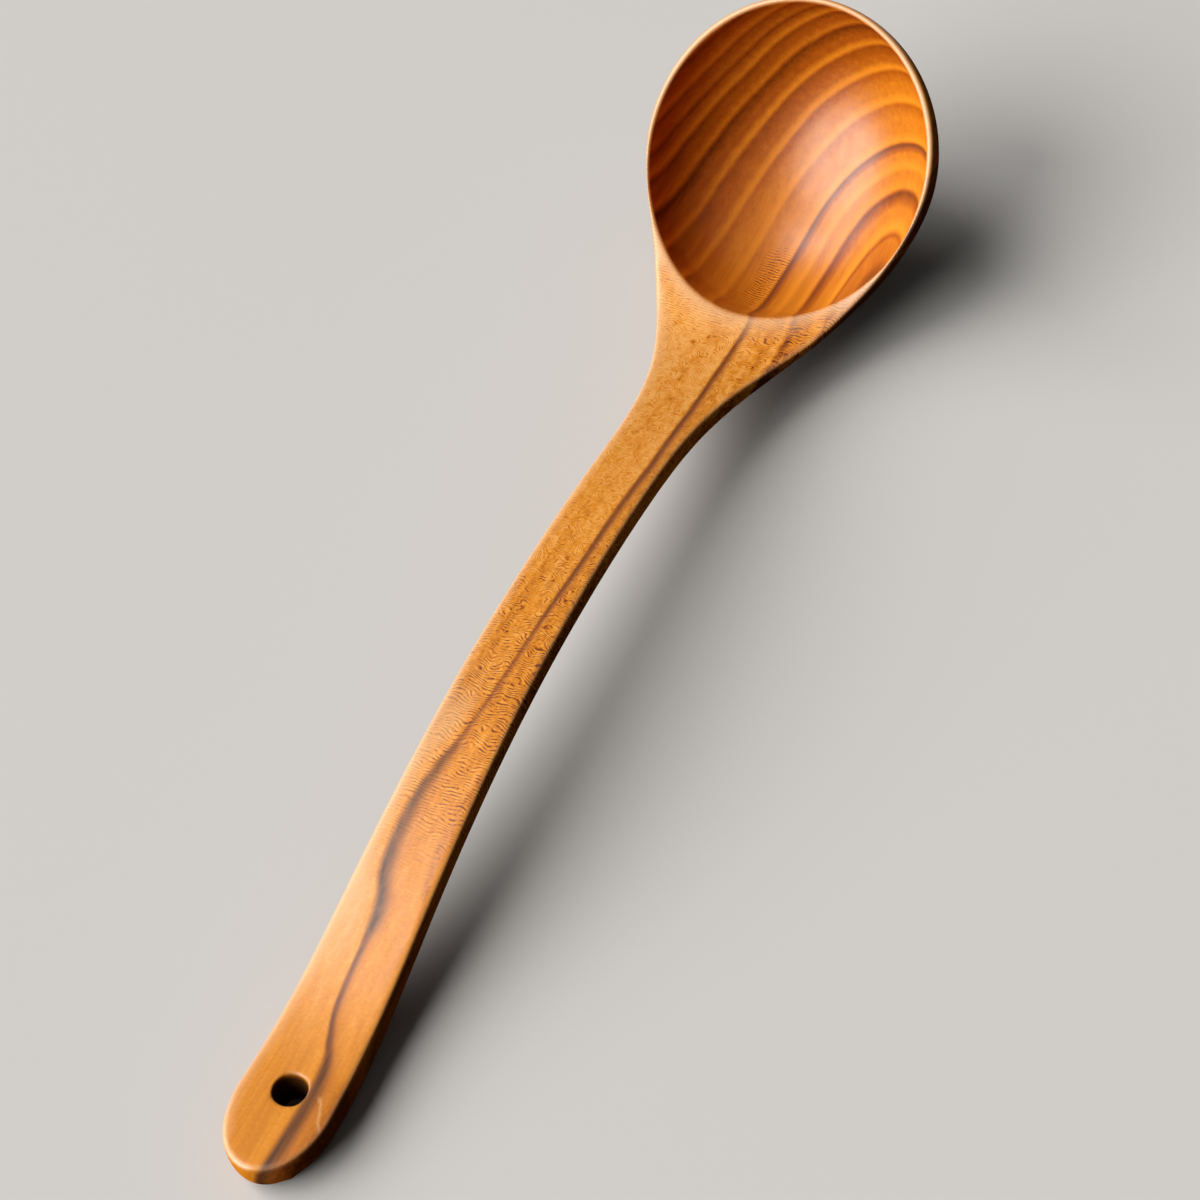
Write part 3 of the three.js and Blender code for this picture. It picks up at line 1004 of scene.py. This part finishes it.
def painted_side_shade(tree, grain):
    """Painted shade: the sides and the underside are darker, and the tail's end less so."""
    side = scaled(tree, grain.upward, SIDE_FACING, SIDE_SHADE)
    end = scaled(tree, grain.facing["X"], END_FACING, END_SHARE)
    return times(tree, side, grain.outside, end)


def streaks_along(tree, grain, fibres):
    streaks = noise(tree, grain.wandered, STREAK_LENGTHS, detail=3.0, roughness=0.6)
    streaked = scaled(tree, streaks, STREAK_RANGE, STREAK_TONE)
    fibrous = scaled(tree, fibres, FIBRE_RANGE, FIBRE_TONE)
    return times(tree, plus(tree, streaked, fibrous), scaled(tree, grain.hollow, RISING, CALM))


def ripple_across(tree, grain):
    """Short curly lines in patches, on the neck and the handle, and beside the vein in the hollow."""
    start = scaled(tree, grain.ring, BESIDE_VEIN_START)
    end = scaled(tree, grain.ring, BESIDE_VEIN_END, FALLING)
    shown = reckon(tree, "MAXIMUM", grain.outside, times(tree, start, end))
    patches = scaled(tree, noise(tree, grain.place, PATCH_LENGTHS, detail=1.0), PATCH_RANGE)
    breaks = scaled(tree, noise(tree, grain.place, BREAK_LENGTHS, detail=1.0), BREAK_RANGE, BREAK_SHARE)
    wave = add_node(tree, "ShaderNodeTexWave", {
        "Vector": vector(tree, "MULTIPLY", grain.place, RIPPLE_SCALE),
        "Scale": 1.0,
        "Distortion": grain.curve(CURL),
        "Detail": RIPPLE_DETAIL,
        "Detail Scale": RIPPLE_DETAIL_SCALE,
        "Detail Roughness": RIPPLE_DETAIL_ROUGHNESS})
    lines = scaled(tree, wave.outputs["Fac"], RIPPLE_RANGE, RIPPLE_DEPTH)
    return times(tree, lines, breaks, grain.curve(RIPPLE), shown, patches)


def speckle_over(tree, grain):
    speckle = noise(tree, grain.place, SPECKLE_LENGTHS, detail=1.0)
    return times(tree, scaled(tree, speckle, SPECKLE_RANGE, SPECKLE_DEPTH), grain.curve(SPECKLE))


def shimmer_over(tree, grain):
    shimmer = noise(tree, grain.place, SHIMMER_LENGTHS, detail=2.0, roughness=0.6)
    shimmering = scaled(tree, shimmer, SHIMMER_RANGE, SHIMMER_TONE)
    return times(tree, shimmering, grain.curve(SHIMMER), grain.outside)


def veined(tree, grain, colour):
    width = grain.curve(VEIN_WIDTH)
    depth = reckon(tree, "DIVIDE", reckon(tree, "SUBTRACT", VEIN_EDGE, grain.ring), width)
    blush_start = scaled(tree, depth, BLUSH_START)
    blush_end = scaled(tree, depth, BLUSH_END, FALLING, "SMOOTHSTEP")
    colour = mix(tree, times(tree, blush_start, blush_end, BLUSH_STRENGTH), colour, BLUSH_COLOUR)
    sharp_side = scaled(tree, depth, VEIN_SHARP_SIDE)
    soft_side = scaled(tree, depth, VEIN_SOFT_SIDE, FALLING, "SMOOTHSTEP")
    patches = noise(tree, grain.wandered, VEIN_PATCH_LENGTHS, detail=3.0, roughness=0.6)
    patchy = scaled(tree, patches, VEIN_PATCH_RANGE, VEIN_PATCH_SHARE)
    vein = times(tree, sharp_side, soft_side, grain.curve(VEIN_STRENGTH), patchy)
    vein_colour = mix(tree, scaled(tree, width, BROAD_VEIN), THIN_VEIN_COLOUR, BROAD_VEIN_COLOUR)
    return mix(tree, vein, colour, vein_colour)


def with_sapwood_and_sheen(tree, grain, colour):
    # paler wood left of the vein on upward faces: partly sapwood, partly painted sheen
    left_of_vein = scaled(tree, grain.ring, SAPWOOD_AND_SHEEN_START)
    on_top = scaled(tree, grain.upward, SIDE_FACING)
    return mix(tree, times(tree, left_of_vein, grain.curve(SAPWOOD_AND_SHEEN), on_top), colour, SAPWOOD_AND_SHEEN_COLOUR)


def scratched(tree, grain, colour):
    from_start = reckon(tree, "SUBTRACT", grain.along, SCRATCH_PLACE)
    straight = reckon(tree, "MULTIPLY_ADD", from_start, SCRATCH_SLANT, SCRATCH_ASIDE)
    bend = scaled(tree, noise(tree, grain.place, SCRATCH_BEND_LENGTHS), RISING, SCRATCH_BEND)
    off_line = reckon(tree, "ABSOLUTE", reckon(tree, "SUBTRACT", grain.across, plus(tree, straight, bend)))
    line = scaled(tree, off_line, SCRATCH_WIDTH, SCRATCH_STRENGTH)
    start = scaled(tree, grain.along, (SCRATCH_PLACE, SCRATCH_PLACE + SCRATCH_FADE), FALLING)
    end = scaled(tree, grain.along, (SCRATCH_END - SCRATCH_FADE, SCRATCH_END))
    on_top = scaled(tree, grain.upward, SCRATCH_FACING)
    return mix(tree, times(tree, line, start, end, on_top), colour, SCRATCH_COLOUR)


def with_hole_shade_and_worn_highlit_edges(tree, colour):
    # painted shade on the wall of the hole
    colour = mix(tree, times(tree, attribute(tree, "hole_shade"), HOLE_SHADE_STRENGTH), colour, HOLE_SHADE_COLOUR)
    # the rim and edges, paler from wear and a painted highlight
    return mix(tree, times(tree, attribute(tree, "wear_and_highlight"), WEAR_AND_HIGHLIGHT_STRENGTH), colour, WEAR_AND_HIGHLIGHT_COLOUR)


def oil_film(tree, grain, polish):
    """The film lies on faces that look up, and thins out on the right side."""
    leaning = reckon(tree, "MULTIPLY_ADD", grain.facing["Y"], FILM_LEAN, grain.upward)
    on_top = scaled(tree, grain.upward, FILM_FACING)
    film = reckon(tree, "MINIMUM", on_top, scaled(tree, leaning, FILM_LEANING))
    return times(tree, film, scaled(tree, polish, POLISH, FILM_SHARE))


def oiled_wood():
    material = bpy.data.materials.new("oiled_wood")
    material.use_nodes = True
    tree = material.node_tree
    shader = tree.nodes["Principled BSDF"]
    grain = Grain(tree)
    fibres = noise(tree, grain.wandered, FIBRE_LENGTHS, detail=2.0, roughness=0.6)
    ripple = ripple_across(tree, grain)
    speckle = speckle_over(tree, grain)
    tone = plus(
        tree,
        ringed_tone(tree, grain),
        faint_line(tree, grain),
        paleness_and_painted_light(tree, grain),
        painted_left_shade(tree, grain),
        painted_side_shade(tree, grain),
        streaks_along(tree, grain, fibres),
        shimmer_over(tree, grain),
        times(tree, ripple, RIPPLE_TONE),
        times(tree, speckle, SPECKLE_TONE))
    colour = colour_ramp(tree, times(tree, tone, RAMP_SHARE), WOOD_COLOURS)
    colour = veined(tree, grain, colour)
    colour = with_sapwood_and_sheen(tree, grain, colour)
    colour = scratched(tree, grain, colour)
    colour = with_hole_shade_and_worn_highlit_edges(tree, colour)
    tree.links.new(colour, shader.inputs["Base Color"])

    polish = scaled(tree, noise(tree, grain.wandered, POLISH_LENGTHS), POLISH_RANGE, POLISH)
    tree.links.new(polish, shader.inputs["Roughness"])
    tree.links.new(oil_film(tree, grain, polish), shader.inputs["Coat Weight"])
    shader.inputs["Specular IOR Level"].default_value = BARE_GLOSS
    shader.inputs["Coat Roughness"].default_value = FILM_ROUGHNESS
    shader.inputs["Coat IOR"].default_value = FILM_IOR
    relief = plus(
        tree,
        times(tree, ripple, RIPPLE_RELIEF),
        times(tree, speckle, SPECKLE_RELIEF),
        times(tree, fibres, FIBRE_RELIEF))
    bump = add_node(tree, "ShaderNodeBump", {
        "Height": relief,
        "Strength": RELIEF_STRENGTH,
        "Distance": RELIEF_HEIGHT})
    tree.links.new(bump.outputs[0], shader.inputs["Normal"])
    return material


# The stage. The floor is pale to the eye, and dull where it throws light back.
FLOOR_SIZE = 20
FLOOR_ROUGHNESS = 0.7
PALE_FLOOR = (0.62, 0.60, 0.57, 1)
DULL_FLOOR = (0.08, 0.08, 0.08, 1)

# The camera stands at the photograph's place and angle
HEADING = math.radians(31.845)
LOOK_DOWN = math.radians(49.92)
ROLL = math.radians(-8.785)
CAMERA_PLACE = Vector((-0.43575, -0.27622, 0.62163))
LENS = 96
SENSOR = 36
NEAREST = 0.01

# Soft light: a large window at one side, a screen behind, a ceiling and a dim room.
# Each lamp's way is its heading and its height, in degrees.
WINDOW_WAY = (143, 30)
WINDOW_SPREAD = 52
WINDOW_STRENGTH = 3.4
SCREEN_WAY = (90, 36)
SCREEN_SPREAD = 40
SCREEN_STRENGTH = 1.2
CEILING_WAY = (105, 65)
CEILING_SPREAD = 26
CEILING_STRENGTH = 0.7
ROOM_COLOUR = (0.95, 0.93, 0.90, 1)
ROOM_STRENGTH = 0.04
BACKDROP = (0.2, 0.195, 0.19, 1)
BACKDROP_STRENGTH = 1.0


def seen_directly(tree):
    """1 for rays from the camera or from a mirror or glass, 0 for light that bounces."""
    path = add_node(tree, "ShaderNodeLightPath", {}).outputs
    mirrored = reckon(tree, "MAXIMUM", path["Is Glossy Ray"], path["Is Transmission Ray"])
    return reckon(tree, "MAXIMUM", path["Is Camera Ray"], mirrored)


def pale_floor():
    mesh = bmesh.new()
    bmesh.ops.create_grid(mesh, x_segments=1, y_segments=1, size=FLOOR_SIZE)
    floor = in_scene("floor", mesh_data(mesh, "floor"))
    material = bpy.data.materials.new("pale_floor")
    material.use_nodes = True
    tree = material.node_tree
    shader = tree.nodes["Principled BSDF"]
    shader.inputs["Roughness"].default_value = FLOOR_ROUGHNESS
    colour = mix(tree, seen_directly(tree), DULL_FLOOR, PALE_FLOOR)
    tree.links.new(colour, shader.inputs["Base Color"])
    floor.data.materials.append(material)
    return floor


def stand_camera():
    level_forward = Vector((math.cos(HEADING), math.sin(HEADING), 0))
    forward = level_forward * math.cos(LOOK_DOWN) - Vector((0, 0, math.sin(LOOK_DOWN)))
    level_right = Vector((math.sin(HEADING), -math.cos(HEADING), 0))
    level_up = level_right.cross(forward)
    right = level_right * math.cos(ROLL) + level_up * math.sin(ROLL)
    up = level_up * math.cos(ROLL) - level_right * math.sin(ROLL)
    data = bpy.data.cameras.new("camera")
    data.lens = LENS
    data.sensor_width = SENSOR
    data.clip_start = NEAREST
    camera = in_scene("camera", data)
    turn = Matrix((right, up, -forward)).transposed()
    camera.matrix_world = Matrix.Translation(CAMERA_PLACE) @ turn.to_4x4()
    bpy.context.scene.camera = camera


def soft_lamp(name, way, spread, strength):
    """A soft far lamp that shines from this way."""
    heading, height = [math.radians(angle) for angle in way]
    level = Vector((math.cos(heading), math.sin(heading), 0))
    towards = level * math.cos(height) + Vector((0, 0, math.sin(height)))
    data = bpy.data.lights.new(name, "SUN")
    data.angle = math.radians(spread)
    data.energy = strength
    lamp = in_scene(name, data)
    lamp.rotation_euler = towards.to_track_quat("Z", "Y").to_euler()


def studio_room():
    """A dim room for the light, behind a backdrop for the eye."""
    world = bpy.data.worlds.new("studio")
    world.use_nodes = True
    tree = world.node_tree
    room = tree.nodes["Background"]
    room.inputs["Color"].default_value = ROOM_COLOUR
    room.inputs["Strength"].default_value = ROOM_STRENGTH
    backdrop = add_node(tree, "ShaderNodeBackground", {"Color": BACKDROP, "Strength": BACKDROP_STRENGTH})
    surface = add_node(tree, "ShaderNodeMixShader", {
        0: seen_directly(tree),
        1: room.outputs[0],
        2: backdrop.outputs[0]})
    tree.links.new(surface.outputs[0], tree.nodes["World Output"].inputs["Surface"])
    bpy.context.scene.world = world


ladle = carved_ladle()
ladle.data.materials.append(oiled_wood())
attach(ladle, "root")
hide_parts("ladle")

floor = pale_floor()
stand_camera()
soft_lamp("window", WINDOW_WAY, WINDOW_SPREAD, WINDOW_STRENGTH)
soft_lamp("screen", SCREEN_WAY, SCREEN_SPREAD, SCREEN_STRENGTH)
soft_lamp("ceiling", CEILING_WAY, CEILING_SPREAD, CEILING_STRENGTH)
studio_room()
bpy.context.scene.view_settings.view_transform = "Standard"
